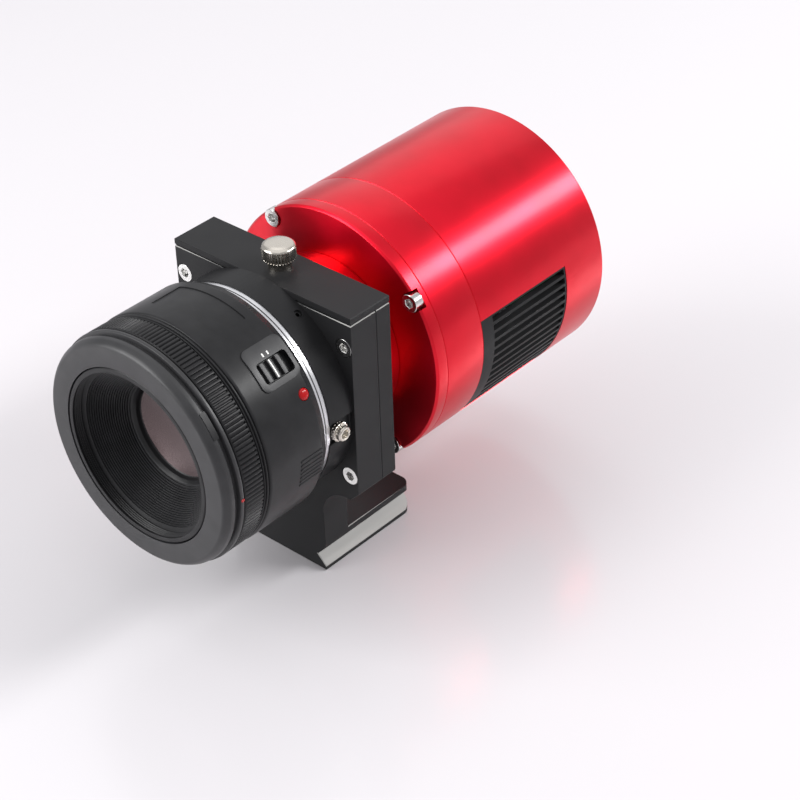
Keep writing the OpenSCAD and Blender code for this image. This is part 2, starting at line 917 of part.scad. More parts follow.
module lens_mount_plate() {
    tube_out = 25.6;
    bayonet_r = 26.8;
    color([0.87, 0.87, 0.88]) on_axis() difference() {
        union() {
            ring(ring_r, tube_in, barrel_back, 0);
            ring(tube_out, tube_in, -0.2, 5.2);
            for (a = claw_angles) intersection() {
                ring(bayonet_r, tube_out - 0.5, 1.6, 2.9);
                slab(1, 4) wedge(a - 24, a + 24, ring_r);
            }
        }
        translate([pin_x, 0, pin_z]) rod(pin_r + 0.1, pin_tip - 0.1, cut);
    }
}

module contact_block() {
    color([0.12, 0.12, 0.12]) on_axis() intersection() {
        ring(tube_in, 17.5, -1.8, 4.2);
        slab(-2, 5) wedge(246, 294, 30);
    }
}

module focus_ring() {
    color([0.08, 0.08, 0.08]) on_axis() ring(lens_r - 0.25, drum_r + run_gap, knurl_y + 0.05, knurl_back);
}

module front_bezel() {
    bore = sleeve_r + free_gap;
    flange = lens_r - 0.3;
    groove = lens_r - 1.7;
    front = lens_r - 1;
    back = knurl_y - 0.35;
    seat = drum_r - 0.5;
    color([0.09, 0.09, 0.1]) on_axis() turned([
        [bore, lens_front], [front - 1.3, lens_front], [front - 0.9, lens_front + 0.4],
        [front, lens_front + 1.9], [front, -36], [groove, -35.6], [groove, -34.9],
        [flange, -34.4], [flange, back], [seat, back], [seat, back + 0.15], [bore, back + 0.15]
    ]);
}

module inner_barrel() {
    rim = lens_front + 0.1;
    inner = sleeve_r - 1.4;
    cell_out = 20;
    cell_in = 16.2;
    color([0.07, 0.07, 0.08]) on_axis() turned([
        [thread_r, rim], [sleeve_r - 0.3, rim], [sleeve_r, rim + 0.3], [sleeve_r, sleeve_back],
        [inner, sleeve_back], [inner, funnel_y], [cell_out, funnel_y],
        [cell_out, cell_back], [cell_in, cell_back], [cell_in, funnel_y],
        [cell_in - 0.6, funnel_y], [thread_r - 1.1, rim + 3.6], [thread_r, rim + 3.4]
    ]);
}

module front_element() {
    ball = 26;
    crown = -25.2;
    edge_back = -19.5;
    color([0.5, 0.35, 0.35, 0.5]) on_axis() intersection() {
        rod(glass_r, crown - 1, edge_back);
        translate([0, crown + ball, 0]) rotate([90, 0, 0]) sphere(r = ball);
    }
}

module rear_elements() {
    color([0.6, 0.65, 0.7, 0.5]) on_axis() {
        rod(13.2, -11.2, -8.4);
        rod(12.4, -8.2, -5.2);
    }
}

module retaining_ring() {
    lip = glass_r - 0.4;
    seat = glass_r + 0.05;
    color([0.1, 0.1, 0.1]) on_axis() turned([
        [lip, -23.6], [15.4, funnel_y + 0.1], [16.1, funnel_y + 0.1], [16.1, cell_back - 0.1],
        [seat, cell_back - 0.1], [seat, -21.2], [lip, -21.5]
    ]);
}

module iris_housing() {
    housing_r = 19.9;
    cell_in = 13.8;
    plate_y = cell_back + 0.7;
    back_y = -12.2;
    color([0.12, 0.12, 0.12]) on_axis() {
        ring(housing_r, cell_in, cell_back, plate_y + cut);
        ring(housing_r, housing_r - 1, plate_y, back_y);
        ring(housing_r, cell_in - 0.5, back_y - 0.2, back_y + 0.8);
        ring(cell_in + 1.5, cell_in - 0.5, back_y + 0.7, -5);
        around(0, blade_pivot_r, 0) rod(blade_pin_r, plate_y, blade_y + blade_t + cut);
        for (i = [1:blades - 1]) around(360 / blades * i, blade_pivot_r, 0)
            rod(blade_pin_r, blade_y + i * blade_pitch - cut, back_y);
    }
}

// One iris blade: an arc that pivots about a pin at one end
module iris_blade(i) {
    y = blade_y + i * blade_pitch;
    a = 360 / blades * i;
    color([0.2, 0.2, 0.22]) on_axis() difference() {
        union() {
            intersection() {
                ring(blade_out, blade_in, y, y + blade_t);
                slab(y - 1, y + 1) wedge(a, a + blade_span, 30);
            }
            around(a, blade_pivot_r, 0) rod(1.6, y, y + blade_t);
        }
        around(a, blade_pivot_r, 0) rod(blade_pin_r + run_gap, y - cut, y + blade_t + cut);
    }
}

module focus_motor() {
    motor_back = -12;
    color([0.6, 0.6, 0.62]) on_axis() around(205, 29.6, 0) {
        rod(2.9, barrel_y + 3, motor_back);
        rod(0.6, motor_back - cut, barrel_back - 1.8);
    }
}

module focus_mode_switch() {
    rib_h = 1.1;
    rib_t = 1.2;
    rib_pitch = 2.8;
    half = 2.9;
    base = lens_r - 0.6;
    front = switch_y + 0.15;
    color([0.16, 0.16, 0.17]) on_axis() rotate([0, -switch_angle, 0]) {
        block([lens_r - 1.4, front, -half], [base, front + slider_len, half]);
        for (i = [0:2]) translate([0, switch_y + 1 + rib_pitch * i, 0])
            block([base - cut, 0, -half], [base + rib_h, rib_t, half]);
    }
}

module index_dot() {
    color([0.8, 0.02, 0.03]) on_axis() rotate([0, -dot_angle, 0]) translate([0, dot_y, 0])
        rotate([0, 90, 0]) {
            translate([0, 0, lens_r - 1.15]) cylinder(r = dot_r, h = 1.3);
            translate([0, 0, lens_r + 0.1]) cylinder(r1 = dot_r, r2 = dot_r / 2, h = 0.5);
        }
}

adapter_body();
adapter_rear_plate();
adapter_screws();
mount_ring();
mount_ring_screws();
lock_pin();
lock_spring();
release_knob();
boss_set_screws();
filter_drawer();
drawer_magnets();
case_magnets();
drawer_knob();
filter_cell();
filter_glass();
thread_spacer();
front_plate();
tilt_screws();
sensor_housing();
window_seal();
sensor_window();
image_sensor();
sensor_board();
cold_finger();
peltier_cooler();
heat_sink();
main_housing();
vent_grille_right();
vent_grille_left();
fan_frame();
fan_rotor();
main_board();
usb3_socket();
usb2_sockets();
power_socket();
rear_cover();
rear_cover_screws();
fan_grille();
desiccant_plug();
lens_barrel();
lens_mount_plate();
contact_block();
focus_ring();
front_bezel();
inner_barrel();
front_element();
rear_elements();
retaining_ring();
iris_housing();
focus_motor();
focus_mode_switch();
index_dot();
iris_blade(0);  // iris_blade_1
iris_blade(1);  // iris_blade_2
iris_blade(2);  // iris_blade_3
iris_blade(3);  // iris_blade_4
iris_blade(4);  // iris_blade_5
iris_blade(5);  // iris_blade_6
iris_blade(6);  // iris_blade_7
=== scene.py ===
# Looks of the cooled astronomy camera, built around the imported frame.
# Lengths in the outlines are millimetres in the lens frame: the optical axis is Y, the lens
# mount plane is y = 0 and the camera head lies towards +Y. Angles are degrees from +X towards +Z.
# Outlines turned round the axis are (radius, y) points, with the radius of a corner as a third.
import json
import math

import bmesh
import bpy
from mathutils import Matrix, Vector

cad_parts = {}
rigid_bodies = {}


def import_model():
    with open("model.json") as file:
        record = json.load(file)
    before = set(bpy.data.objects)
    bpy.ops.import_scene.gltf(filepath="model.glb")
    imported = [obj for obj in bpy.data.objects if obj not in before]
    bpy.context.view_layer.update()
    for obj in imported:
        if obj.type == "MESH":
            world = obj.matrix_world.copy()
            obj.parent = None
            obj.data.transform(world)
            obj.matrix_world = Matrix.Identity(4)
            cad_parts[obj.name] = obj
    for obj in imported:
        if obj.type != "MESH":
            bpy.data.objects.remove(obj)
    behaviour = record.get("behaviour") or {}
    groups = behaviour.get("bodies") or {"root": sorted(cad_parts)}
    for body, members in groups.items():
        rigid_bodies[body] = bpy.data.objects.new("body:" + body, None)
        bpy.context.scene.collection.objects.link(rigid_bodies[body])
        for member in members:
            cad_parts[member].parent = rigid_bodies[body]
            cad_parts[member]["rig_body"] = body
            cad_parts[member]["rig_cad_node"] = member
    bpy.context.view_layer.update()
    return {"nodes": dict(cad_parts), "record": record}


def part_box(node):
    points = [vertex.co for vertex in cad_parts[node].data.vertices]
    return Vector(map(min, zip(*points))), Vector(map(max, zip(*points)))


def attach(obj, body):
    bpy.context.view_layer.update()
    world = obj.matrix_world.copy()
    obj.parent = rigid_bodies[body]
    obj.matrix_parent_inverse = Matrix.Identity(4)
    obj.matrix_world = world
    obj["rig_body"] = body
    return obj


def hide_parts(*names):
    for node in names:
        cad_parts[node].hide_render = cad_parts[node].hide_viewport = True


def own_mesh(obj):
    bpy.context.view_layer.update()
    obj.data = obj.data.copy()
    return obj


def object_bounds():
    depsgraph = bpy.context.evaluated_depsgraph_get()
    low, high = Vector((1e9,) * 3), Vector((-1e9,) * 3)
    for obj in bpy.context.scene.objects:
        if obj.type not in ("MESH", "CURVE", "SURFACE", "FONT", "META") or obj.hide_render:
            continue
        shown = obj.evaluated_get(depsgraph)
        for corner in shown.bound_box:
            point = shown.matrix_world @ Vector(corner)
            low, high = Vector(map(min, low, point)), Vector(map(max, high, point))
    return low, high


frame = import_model()

MM = 0.001
AXIS_Z = (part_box("focus_ring")[0].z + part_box("focus_ring")[1].z) / 2
MOUNT_PLATE = 2  # mm from the front of the lens's mount plate to the mount plane
MOUNT_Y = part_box("lens_mount_plate")[0].y + MOUNT_PLATE * MM
HEAD_Y = (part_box("front_plate")[0].y - MOUNT_Y) / MM
HEAD_R = (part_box("front_plate")[1].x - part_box("front_plate")[0].x) / 2 / MM
PLATE_BACK = HEAD_Y + 4.4
CHAMBER_BACK = PLATE_BACK + 15.3
HEAD_BACK = HEAD_Y + 75
BEZEL_BORE = 26.25
DOT_ANGLE = 27
DOT_Y = -6.2
FULL_TURN = 360.0
CRISP = 32  # degrees between two faces, above which an edge is drawn sharp or gets a chamfer
MERGE_GAP = 1e-7  # metres, below which two points of a made mesh are one


def place(x, y, z):
    """A point of the lens frame, in mm, as a point of the row frame, in metres."""
    return Vector((x * MM, y * MM + MOUNT_Y, z * MM + AXIS_Z))


def polar(angle, r, y):
    """A point at an angle and a radius round the optical axis."""
    a = math.radians(angle)
    return place(r * math.cos(a), y, r * math.sin(a))


def radial(angle):
    """The direction away from the optical axis at an angle."""
    a = math.radians(angle)
    return Vector((math.cos(a), 0, math.sin(a)))


# ---- Camera ----


def add_camera():
    """The photograph's view: its direction, and where it aims beside the centre of the lens mount."""
    azimuth, elevation, roll = (math.radians(a) for a in (42.46, 35.11, -1.94))
    distance, aim_right, aim_down = 0.60479, 0.04362, 0.00264
    sensor_width, focal_length = 36, 99.43
    back = Vector((
        math.sin(azimuth) * math.cos(elevation),
        -math.cos(azimuth) * math.cos(elevation),
        math.sin(elevation),
    ))
    level = Vector((math.cos(azimuth), math.sin(azimuth), 0))
    upright = back.cross(level)
    right = level * math.cos(roll) + upright * math.sin(roll)
    up = upright * math.cos(roll) - level * math.sin(roll)
    aim = place(0, 0, 0) + right * aim_right - up * aim_down
    data = bpy.data.cameras.new("camera")
    data.sensor_width = sensor_width
    data.lens = focal_length
    data.clip_start = 0.01
    camera = bpy.data.objects.new("camera", data)
    bpy.context.scene.collection.objects.link(camera)
    turn = Matrix((right, up, back)).transposed().to_4x4()
    camera.matrix_world = Matrix.Translation(aim + back * distance) @ turn
    bpy.context.scene.camera = camera


# ---- Materials ----


class Surface:
    """A Principled material with its pattern made in object space, in metres."""

    def __init__(self, name, color, roughness, metallic=0.0, **sockets):
        self.slot = name
        self.material = bpy.data.materials.new(name)
        self.material.use_nodes = True
        self.tree = self.material.node_tree
        self.shader = self.tree.nodes["Principled BSDF"]
        self.color = color
        self.roughness = roughness
        self.shader.inputs["Base Color"].default_value = (*color, 1)
        self.shader.inputs["Roughness"].default_value = roughness
        self.shader.inputs["Metallic"].default_value = metallic
        for key, value in sockets.items():
            self.shader.inputs[key.replace("_", " ")].default_value = value
        self.where = self.add("ShaderNodeTexCoord").outputs["Object"]

    def add(self, kind, **values):
        """A new node with those properties."""
        node = self.tree.nodes.new(kind)
        for key, value in values.items():
            setattr(node, key, value)
        return node

    def link(self, source, target):
        self.tree.links.new(source, target)

    def noise(self, scale, detail=4, stretch=None):
        """Noise of that many periods per metre, pulled out along the stretch axes."""
        node = self.add("ShaderNodeTexNoise")
        node.inputs["Scale"].default_value = scale
        node.inputs["Detail"].default_value = detail
        source = self.where
        if stretch:
            mapping = self.add("ShaderNodeMapping")
            mapping.inputs["Scale"].default_value = stretch
            self.link(source, mapping.inputs["Vector"])
            source = mapping.outputs["Vector"]
        self.link(source, node.inputs["Vector"])
        return node.outputs["Fac"]

    def ramp(self, factor, low, high, start=0.3, end=0.7):
        """Goes from low to high while the factor goes from start to end."""
        node = self.add("ShaderNodeMapRange")
        node.inputs["From Min"].default_value = start
        node.inputs["From Max"].default_value = end
        node.inputs["To Min"].default_value = low
        node.inputs["To Max"].default_value = high
        self.link(factor, node.inputs["Value"])
        return node.outputs["Result"]

    def vary_roughness(self, factor, spread):
        """Lets the roughness move by the spread either way."""
        low, high = self.roughness - spread, self.roughness + spread
        self.link(self.ramp(factor, low, high), self.shader.inputs["Roughness"])

    def vary_color(self, factor, other, share=1.0):
        """Mixes the base colour towards another one by a 0 to 1 factor."""
        node = self.add("ShaderNodeMix", data_type="RGBA")
        node.inputs["A"].default_value = (*self.color, 1)
        node.inputs["B"].default_value = (*other, 1)
        self.link(self.ramp(factor, 0, share), node.inputs["Factor"])
        self.link(node.outputs["Result"], self.shader.inputs["Base Color"])

    def within(self, tests):
        """1 where every (comparison, value, limit) test holds, else 0."""
        mask = None
        for operation, source, limit in tests:
            test = self.add("ShaderNodeMath", operation=operation)
            self.link(source, test.inputs[0])
            test.inputs[1].default_value = limit
            if mask is None:
                mask = test.outputs[0]
                continue
            both = self.add("ShaderNodeMath", operation="MULTIPLY")
            self.link(mask, both.inputs[0])
            self.link(test.outputs[0], both.inputs[1])
            mask = both.outputs[0]
        return mask

    def turned_grain(self, axis):
        """Highlights drawn out as on a part turned round that axis."""
        tangent = self.add("ShaderNodeTangent", direction_type="RADIAL", axis=axis)
        self.link(tangent.outputs["Tangent"], self.shader.inputs["Tangent"])

    def bump(self, height, depth):
        """Bump from a 0 to 1 height, depth in metres."""
        node = self.add("ShaderNodeBump")
        node.inputs["Strength"].default_value = 1
        node.inputs["Distance"].default_value = depth
        self.link(height, node.inputs["Height"])
        self.link(node.outputs["Normal"], self.shader.inputs["Normal"])


def fine_metal(name, color, roughness, metallic, grain, depth, other=None, **sockets):
    """Blasted or cast metal: a fine grain, slow changes of gloss and a little of a second tint."""
    made = Surface(name, color, roughness, metallic, **sockets)
    made.vary_roughness(made.noise(60, 3), 0.03)
    made.vary_color(made.noise(90, 2), other or tuple(c * 0.8 for c in color))
    made.bump(made.noise(grain, 2), depth)
    return made


def turned_metal(name, color, roughness, depth, **sockets):
    """Machined metal with fine tool rings round the optical axis direction."""
    made = Surface(name, color, roughness, 1.0, **sockets)
    made.vary_roughness(made.noise(900, 2, (0.15, 3, 0.15)), 0.05)
    made.vary_color(made.noise(140, 2), tuple(c * 0.86 for c in color))
    made.bump(made.noise(2600, 1, (0.1, 1, 0.1)), depth)
    return made


def moulded(name, color, roughness, grain=5200, depth=2.5e-6, **sockets):
    """Moulded plastic with a fine spark-eroded texture."""
    made = Surface(name, color, roughness, 0.0, **sockets)
    made.vary_roughness(made.noise(160, 3), 0.04)
    made.vary_color(made.noise(220, 2), tuple(c * 1.5 + 0.002 for c in color), 0.5)
    made.bump(made.noise(grain, 2), depth)
    return made


def foot_metal():
    """Black anodised body whose dovetail bevel is machined to raw metal, with the same metal grey
    painted on its upward-facing chamfers as a painted edge highlight.
    """
    # The second grey is real raw metal on the dovetail bevel and a painted highlight on the upward
    # chamfers.
    black, bevel_and_highlight_grey = (0.019, 0.019, 0.02), (0.34, 0.335, 0.325)
    foot_low, foot_high = 1.25 * MM, 4.75 * MM
    box_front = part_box("filter_drawer")[0].y - 0.1 * MM
    tilted, highlight_tilt_low, highlight_tilt_high = 0.35, 0.68, 0.73  # upward parts of a face's normal
    made = Surface("black_anodised", black, 0.42, 0.05, Specular_IOR_Level=0.12)
    made.bump(made.noise(7000, 2), 1.6e-6)
    split = made.add("ShaderNodeSeparateXYZ")
    made.link(made.where, split.inputs["Vector"])
    geometry = made.add("ShaderNodeNewGeometry")
    facing = made.add("ShaderNodeSeparateXYZ")
    made.link(geometry.outputs["True Normal"], facing.inputs["Vector"])
    bevel = made.within((
        ("LESS_THAN", split.outputs["Z"], foot_high),
        ("GREATER_THAN", split.outputs["Z"], foot_low),
        ("GREATER_THAN", facing.outputs["Z"], tilted),
    ))
    # Painted highlight: chamfers whose normals tilt upwards get the metal grey, so that the top edges
    # show bright lines.
    painted_edge_highlights = made.within((
        ("GREATER_THAN", split.outputs["Y"], box_front),
        ("GREATER_THAN", facing.outputs["Z"], highlight_tilt_low),
        ("LESS_THAN", facing.outputs["Z"], highlight_tilt_high),
    ))
    either = made.add("ShaderNodeMath", operation="MAXIMUM")
    made.link(bevel, either.inputs[0])
    made.link(painted_edge_highlights, either.inputs[1])
    mask = either.outputs[0]
    grain = made.noise(500, 3, (1, 0.05, 1))
    color = made.add("ShaderNodeMix", data_type="RGBA")
    color.inputs["A"].default_value = (*black, 1)
    color.inputs["B"].default_value = (*bevel_and_highlight_grey, 1)
    made.link(mask, color.inputs["Factor"])
    made.link(color.outputs["Result"], made.shader.inputs["Base Color"])
    made.link(made.ramp(mask, 0.05, 0.25, 0, 1), made.shader.inputs["Metallic"])
    rough = made.add("ShaderNodeMix", data_type="FLOAT")
    made.link(made.ramp(made.noise(80, 3), 0.38, 0.46), rough.inputs["A"])
    made.link(made.ramp(grain, 0.55, 0.65), rough.inputs["B"])
    made.link(mask, rough.inputs["Factor"])
    made.link(rough.outputs["Result"], made.shader.inputs["Roughness"])
    return made


def glass(name, tint, roughness, sheen, index, clear):
    """Coated glass: the sheen is the tint of what it reflects, clear is the share let through."""
    made = Surface(name, tint, roughness, 0.0, Transmission_Weight=clear, IOR=index)
    made.shader.inputs["Specular Tint"].default_value = (*sheen, 1)
    made.vary_roughness(made.noise(120, 2), 0.004)
    return made


def make_surfaces():
    """One surface for each material slot of the record."""
    red = fine_metal("red_anodised", (0.78, 0.002, 0.02), 0.36, 0.93, 9000, 0.8e-6,
                     (0.71, 0.002, 0.017), Coat_Weight=0.32, Coat_Roughness=0.2, Anisotropic=0.6,
                     Anisotropic_Rotation=0.25)
    red.turned_grain("Y")
    surfaces = (
        red,
        foot_metal(),
        turned_metal("bare_aluminium", (0.75, 0.75, 0.76), 0.34, 2e-6),
        moulded("lens_plastic", (0.0135, 0.0135, 0.0145), 0.36, Specular_IOR_Level=0.2),
        moulded("black_plastic", (0.012, 0.012, 0.013), 0.42),
        moulded("switch_plastic", (0.02, 0.02, 0.0215), 0.4, Specular_IOR_Level=0.45),
        moulded("index_red", (0.36, 0.001, 0.003), 0.25, 1500, 1e-6, Specular_IOR_Level=0.35),
        turned_metal("mount_steel", (0.74, 0.74, 0.76), 0.3, 1.2e-6),
        turned_metal("knob_nickel", (0.62, 0.58, 0.52), 0.24, 1.5e-6),
        turned_metal("screw_steel", (0.74, 0.735, 0.72), 0.24, 1.5e-6),
        turned_metal("black_steel", (0.05, 0.05, 0.052), 0.34, 1.5e-6),
        turned_metal("spring_steel", (0.6, 0.6, 0.62), 0.25, 1e-6),
        turned_metal("magnet_nickel", (0.7, 0.7, 0.72), 0.2, 1e-6),
        fine_metal("copper", (0.72, 0.33, 0.18), 0.3, 1.0, 3000, 1.5e-6),
        moulded("ceramic", (0.8, 0.8, 0.77), 0.5, 4000, 3e-6),
        moulded("circuit", (0.01, 0.12, 0.035), 0.35, 900, 6e-6),
        fine_metal("sensor", (0.05, 0.055, 0.1), 0.12, 0.4, 6000, 5e-7, (0.09, 0.05, 0.1)),
        moulded("rubber", (0.012, 0.012, 0.012), 0.7, 2500, 5e-6),
        glass("clear_glass", (0.92, 0.97, 0.96), 0.01, (0.8, 1, 0.9), 1.52, 1.0),
        glass("lens_glass", (0.02, 0.01, 0.01), 0.02, (1, 0.76, 0.78), 1.55, 0.0),
        moulded("usb_blue", (0.01, 0.06, 0.42), 0.35),
        fine_metal("blade_steel", (0.03, 0.03, 0.032), 0.4, 0.7, 4000, 1e-6),
    )
    return {surface.slot: surface for surface in surfaces}


def paint(obj, slot):
    """Gives a piece or a CAD node the surface of a slot."""
    obj.data.materials.clear()
    obj.data.materials.append(SURFACES[slot].material)
    return obj


# ---- Mesh helpers ----


def finish_mesh(name, bm, body, slot, sharp=CRISP, nodes=()):
    """Turns a bmesh into a piece that rides on a body and stands for CAD nodes."""
    bmesh.ops.recalc_face_normals(bm, faces=bm.faces)
    data = bpy.data.meshes.new(name)
    bm.to_mesh(data)
    bm.free()
    for polygon in data.polygons:
        polygon.use_smooth = True
    data.set_sharp_from_angle(angle=math.radians(sharp))
    obj = bpy.data.objects.new(name, data)
    bpy.context.scene.collection.objects.link(obj)
    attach(obj, body)
    if nodes:
        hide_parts(*nodes)
    return paint(obj, slot)


def rounded(outline, radius):
    """A closed outline with each corner replaced by a small arc."""
    steps = 3
    done = []
    count = len(outline)
    for i, corner in enumerate(outline):
        here = Vector(corner[:2])
        r = corner[2] if len(corner) > 2 else radius
        before, after = (Vector(outline[(i + k) % count][:2]) - here for k in (-1, 1))
        reach = min(r, before.length * 0.45, after.length * 0.45)
        if reach < 1e-4:
            done.append(here)
            continue
        a, b = here + before.normalized() * reach, here + after.normalized() * reach
        for k in range(steps + 1):
            t = k / steps
            done.append(a * (1 - t) ** 2 + here * 2 * t * (1 - t) + b * t * t)
    return done


def skin(bm, rings, closed=True):
    """Joins each ring of points to the next and the last to the first; a closed ring also wraps."""
    for a, b in zip(rings, rings[1:] + rings[:1]):
        for k in range(len(a) if closed else len(a) - 1):
            n = (k + 1) % len(a)
            bm.faces.new((a[k], a[n], b[n], b[k]))


def lathe_mesh(outline, turns):
    """A solid of revolution round the optical axis from a closed outline of (r, y) points."""
    bm = bmesh.new()
    rings = []
    for i in range(turns):
        angle = FULL_TURN * i / turns
        rings.append([bm.verts.new(polar(angle, max(r, 0.0), y)) for r, y in outline])
    skin(bm, rings)
    if any(r < 1e-6 for r, y in outline):
        bmesh.ops.remove_doubles(bm, verts=bm.verts, dist=MERGE_GAP)
    return bm


def turned_mesh(centre, axis, profile, sides, dip=None):
    """A solid of revolution about any axis through a point, from (radius, height) points in mm.

    dip(step, height) is how far, in mm, the surface is cut back at one step round the axis.
    """
    bm = bmesh.new()
    side = axis.orthogonal().normalized()
    other = axis.cross(side)
    rings = []
    for i in range(sides):
        t = 2 * math.pi * i / sides
        out = side * math.cos(t) + other * math.sin(t)
        rings.append([
            bm.verts.new(centre + out * (r - (dip(i, h) if dip else 0)) * MM + axis * h * MM)
            for r, h in profile
        ])
    skin(bm, rings, closed=False)
    bmesh.ops.remove_doubles(bm, verts=bm.verts, dist=MERGE_GAP)
    return bm


def lathe(name, outline, body, slot, nodes=(), turns=192, radius=0.15, sharp=CRISP):
    """A turned piece from its outline, with corners rounded by a default radius."""
    bm = lathe_mesh(rounded(outline, radius), turns)
    return finish_mesh(name, bm, body, slot, sharp, nodes)


def bake(obj):
    """Keeps the shape that a piece's modifiers give it."""
    view = bpy.context.evaluated_depsgraph_get()
    made = bpy.data.meshes.new_from_object(obj.evaluated_get(view))
    obj.modifiers.clear()
    obj.data = made


def soften(obj, width):
    """Rounds the crisp edges of a piece by a width in mm."""
    bevel = obj.modifiers.new("edges", "BEVEL")
    bevel.width = width * MM
    bevel.segments = 3
    bevel.limit_method = "ANGLE"
    bevel.angle_limit = math.radians(CRISP)
    bevel.use_clamp_overlap = True
    bake(obj)
    obj.data.set_sharp_from_angle(angle=math.radians(40))


def refined(node, edge, shortest=0.0):
    """A detailed copy of a CAD node: its flat faces are rebuilt whole and its edges are chamfered.

    Edges below the shortest length, in mm, stay crisp.
    """
    weld, flat = 2e-6, math.radians(0.4)
    bm = bmesh.new()
    bm.from_mesh(frame["nodes"][node].data)
    bmesh.ops.remove_doubles(bm, verts=bm.verts, dist=weld)
    bmesh.ops.dissolve_limit(bm, angle_limit=flat, verts=bm.verts, edges=bm.edges)
    if edge:
        crisp = [
            e for e in bm.edges
            if e.is_manifold and e.calc_face_angle(0) > math.radians(CRISP)
            and e.calc_length() >= shortest * MM
        ]
        bmesh.ops.bevel(
            bm, geom=crisp, offset=edge * MM, offset_type="OFFSET", segments=1, profile=0.5,
            affect="EDGES", clamp_overlap=not shortest, loop_slide=True,
        )
    body = frame["nodes"][node]["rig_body"]
    return finish_mesh(node + "_detail", bm, body, SLOTS[node], 20, (node,))


def cut(obj, cutters):
    """Cuts closed bmeshes out of a piece and keeps the result as its mesh."""
    for tool in cutters:
        bmesh.ops.recalc_face_normals(tool, faces=tool.faces)
        data = bpy.data.meshes.new("cutter")
        tool.to_mesh(data)
        tool.free()
        cutter = bpy.data.objects.new("cutter", data)
        bpy.context.scene.collection.objects.link(cutter)
        boolean = obj.modifiers.new("cut", "BOOLEAN")
        boolean.operation = "DIFFERENCE"
        boolean.solver = "EXACT"
        boolean.object = cutter
        bpy.context.view_layer.update()
        bake(obj)
        bpy.data.objects.remove(cutter)
    for polygon in obj.data.polygons:
        polygon.use_smooth = True
    obj.data.set_sharp_from_angle(angle=math.radians(30))


def wall_patch(a0, a1, y0, y1, low, high, corner=0.0, columns=24, rows=6):
    """A closed plate that follows the barrel between two radii, with rounded corners in plan."""
    bm = bmesh.new()
    mid = (low + high) / 2
    width = math.radians(a1 - a0) * mid
    grid = {0: [], 1: []}
    for i in range(columns + 1):
        share = 0.5 - 0.5 * math.cos(math.pi * i / columns)
        side = min(share, 1 - share) * width
        inset = 0.0
        if side < corner:
            inset = corner - math.sqrt(max(corner**2 - (corner - side) ** 2, 0))
        angle = a0 + (a1 - a0) * share
        for layer, r in ((0, low), (1, high)):
            span = (y0 + inset, y1 - inset)
            grid[layer].append([
                bm.verts.new(polar(angle, r, span[0] + (span[1] - span[0]) * k / rows))
                for k in range(rows + 1)
            ])
    for i in range(columns):
        for k in range(rows):
            for layer in grid.values():
                a, b = layer[i], layer[i + 1]
                bm.faces.new((a[k], a[k + 1], b[k + 1], b[k]))
        for k in (0, rows):
            lower, upper = grid[0], grid[1]
            bm.faces.new((lower[i][k], lower[i + 1][k], upper[i + 1][k], upper[i][k]))
    for i in (0, columns):
        for k in range(rows):
            lower, upper = grid[0][i], grid[1][i]
            bm.faces.new((lower[k], lower[k + 1], upper[k + 1], upper[k]))
    return bm


def rod_mesh(centre, axis, r, low, high, sides=48):
    """A closed cylinder from low to high, in mm, along an axis through a point in metres."""
    bm = bmesh.new()
    axis = Vector(axis).normalized()
    made = bmesh.ops.create_cone(
        bm, cap_ends=True, segments=sides, radius1=r * MM, radius2=r * MM, depth=(high - low) * MM,
    )
    turn = Vector((0, 0, 1)).rotation_difference(axis).to_matrix().to_4x4()
    shift = Matrix.Translation(Vector(centre) + axis * (low + high) / 2 * MM)
    bmesh.ops.transform(bm, matrix=shift @ turn, verts=made["verts"])
    return bm


def box_mesh(low, high, angle=0.0):
    """A closed box between two corners of the lens frame, turned round the optical axis."""
    bm = bmesh.new()
    made = bmesh.ops.create_cube(bm, size=1)
    a = math.radians(angle)
    for v in made["verts"]:
        x, y, z = (low[k] if v.co[k] < 0 else high[k] for k in range(3))
        v.co = place(x * math.cos(a) - z * math.sin(a), y, x * math.sin(a) + z * math.cos(a))
    return bm


def joined(parts):
    """Several bmeshes in one, each still closed."""
    whole = bmesh.new()
    for part in parts:
        data = bpy.data.meshes.new("part")
        part.to_mesh(data)
        part.free()
        whole.from_mesh(data)
        bpy.data.meshes.remove(data)
    return whole


# ---- Lens ----


def build_focus_ring():
    """The focus ring, whose outside carries straight ridges along the axis, with plain ends."""
    ridges, depth = 162, 0.5
    outer, inner = 34.4, 31.05
    y0, y1 = -32.95, -26.0
    bm = bmesh.new()
    rows = [
        (y0, outer - 0.35, 0), (y0 + 0.3, outer - 0.1, 0), (y0 + 0.45, outer - 0.06, 1),
        (y0 + 0.8, outer, 1), (y1 - 0.8, outer, 1), (y1 - 0.45, outer - 0.06, 1),
        (y1 - 0.3, outer - 0.1, 0), (y1, outer - 0.35, 0), (y1, inner, 0), (y0, inner, 0),
    ]
    ridge = (0.12, 0.0, 0.0, 0.12, 1.0, 1.0)
    steps = ridges * len(ridge)
    rings = []
    for i in range(steps):
        dip = ridge[i % len(ridge)] * depth
        angle = FULL_TURN * i / steps
        rings.append([bm.verts.new(polar(angle, r - dip * ribbed, y)) for y, r, ribbed in rows])
    skin(bm, rings)
    finish_mesh("focus_ring_detail", bm, "focus_ring", "lens_plastic", 25, ("focus_ring",))


